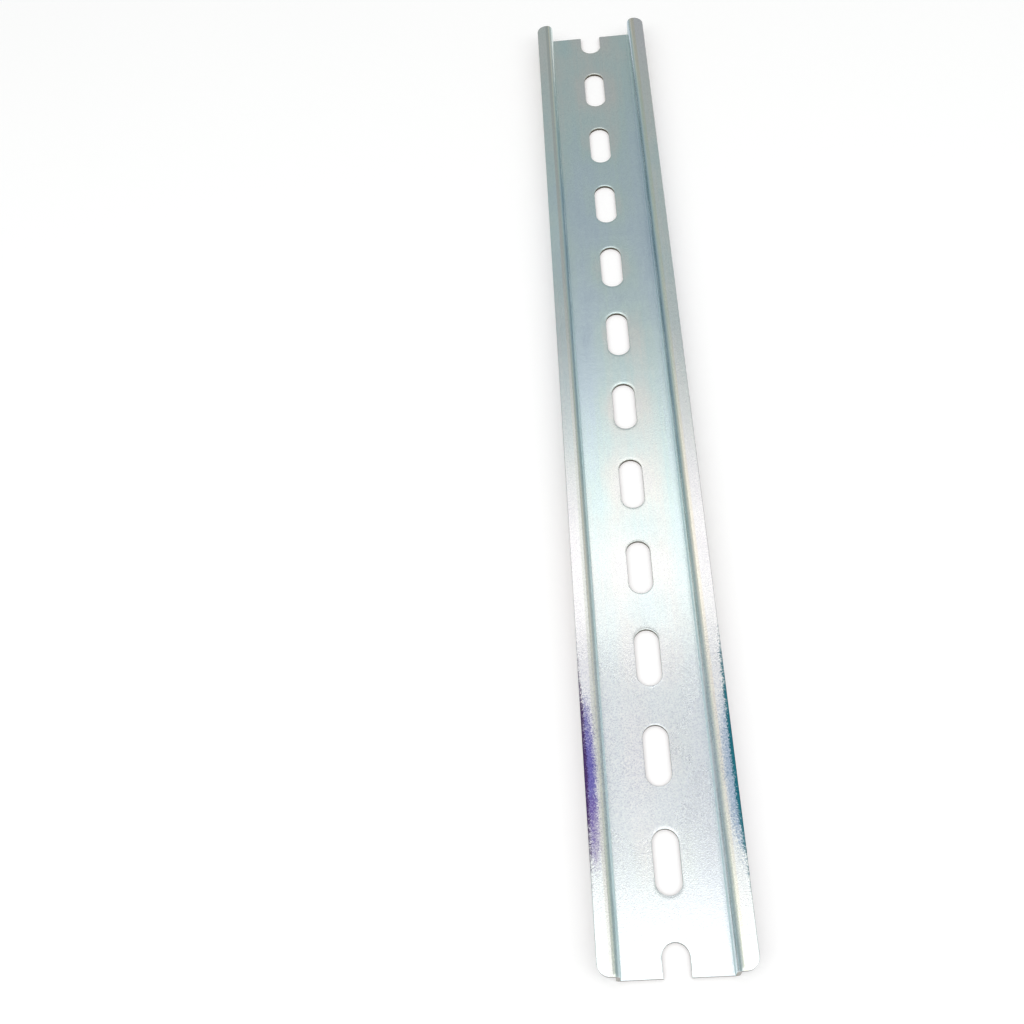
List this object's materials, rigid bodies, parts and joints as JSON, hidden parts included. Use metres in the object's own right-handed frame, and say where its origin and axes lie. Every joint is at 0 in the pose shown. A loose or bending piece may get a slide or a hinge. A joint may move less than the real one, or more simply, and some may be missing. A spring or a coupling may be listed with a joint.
{
  "type": "din rail",
  "caption": "Straight top-hat mounting rail of zinc-plated steel strip, with a row of long fixing slots along its web and ends cropped through a slot.",
  "frame": {"origin": "centre of the underside of the web, on the floor that the rail lies on", "axes": "+X across the rail, +Y along it, +Z out of the channel's open side"},
  "size_m": [0.035, 0.3, 0.0075],
  "materials": {
    "zinc_plated_steel": "clear blue-white zinc plating, smooth and softly reflecting, faintly iridescent and clouded"
  },
  "bodies": {
    "root": {"din_rail": "zinc_plated_steel"}
  },
  "joints": []
}
